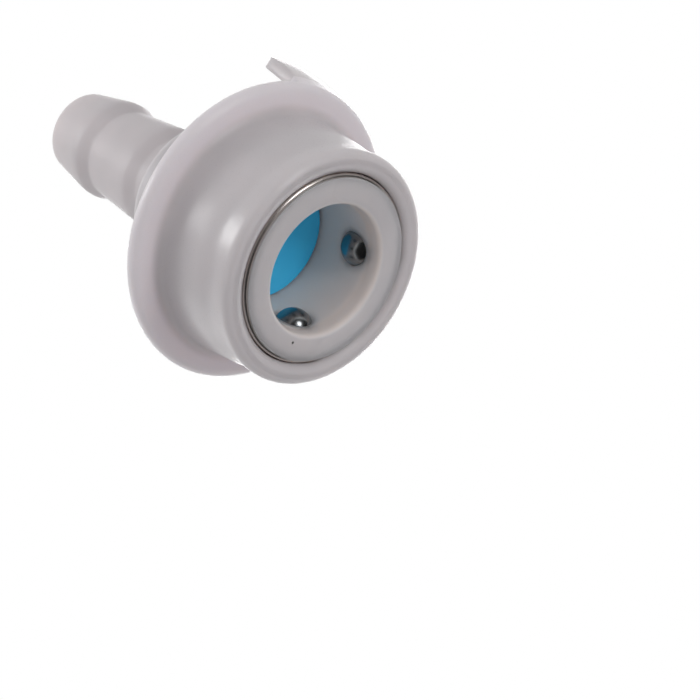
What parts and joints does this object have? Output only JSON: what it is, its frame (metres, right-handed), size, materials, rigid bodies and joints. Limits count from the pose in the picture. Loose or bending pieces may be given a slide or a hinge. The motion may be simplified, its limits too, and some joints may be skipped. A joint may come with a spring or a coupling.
{
  "type": "plastic quick disconnect coupling",
  "caption": "Moulded plastic ball-lock quick disconnect socket with a flanged pull sleeve, thumb tab, shut-off valve and barbed hose tail.",
  "frame": {"origin": "centre of the socket bore at its mouth face, where the part stands", "axes": "+Z along the axis towards the hose, thumb tab on the -X side"},
  "size_m": [0.044, 0.0426, 0.0579],
  "materials": {
    "natural_polypropylene": "satin natural plastic, slightly translucent",
    "spring_wire": "drawn stainless wire",
    "ball_steel": "polished stainless ball",
    "blue_plastic": "smooth moulded plastic, blue",
    "seal_rubber": "matt black rubber"
  },
  "bodies": {
    "socket": {"hose_tail": "natural_polypropylene", "socket_body": "natural_polypropylene", "retaining_ring": "spring_wire", "tail_gasket": "seal_rubber", "valve_guide": "natural_polypropylene", "sleeve_spring": "spring_wire", "valve_spring": "spring_wire"},
    "sleeve": {"lock_sleeve": "natural_polypropylene"},
    "poppet": {"valve_poppet": "blue_plastic", "valve_seal": "seal_rubber"},
    "ball_1": {"lock_ball_1": "ball_steel"},
    "ball_2": {"lock_ball_2": "ball_steel"},
    "ball_3": {"lock_ball_3": "ball_steel"},
    "ball_4": {"lock_ball_4": "ball_steel"}
  },
  "joints": [
    {"name": "sleeve_slide", "type": "slide", "parent": "socket", "child": "sleeve", "axis": [0, 0, 1], "range_m": [0, 0.0024], "stiffness_N_per_m": 600, "springref_m": -0.003, "deforming": ["sleeve_spring"]},
    {"name": "valve_slide", "type": "slide", "parent": "socket", "child": "poppet", "axis": [0, 0, 1], "range_m": [0, 0.0035], "stiffness_N_per_m": 250, "springref_m": -0.003, "deforming": ["valve_spring"]},
    {"name": "ball_1_slide", "type": "slide", "parent": "socket", "child": "ball_1", "axis": [0.5299, 0.848, 0], "range_m": [0, 0.00146]},
    {"name": "ball_2_slide", "type": "slide", "parent": "socket", "child": "ball_2", "axis": [-0.848, 0.5299, 0], "range_m": [0, 0.00146]},
    {"name": "ball_3_slide", "type": "slide", "parent": "socket", "child": "ball_3", "axis": [-0.5299, -0.848, 0], "range_m": [0, 0.00146]},
    {"name": "ball_4_slide", "type": "slide", "parent": "socket", "child": "ball_4", "axis": [0.848, -0.5299, 0], "range_m": [0, 0.00146]}
  ],
  "couplings": [
    {"joint": "ball_1_slide", "follows": "sleeve_slide", "ratio": 0.60833},
    {"joint": "ball_2_slide", "follows": "sleeve_slide", "ratio": 0.60833},
    {"joint": "ball_3_slide", "follows": "sleeve_slide", "ratio": 0.60833},
    {"joint": "ball_4_slide", "follows": "sleeve_slide", "ratio": 0.60833}
  ]
}
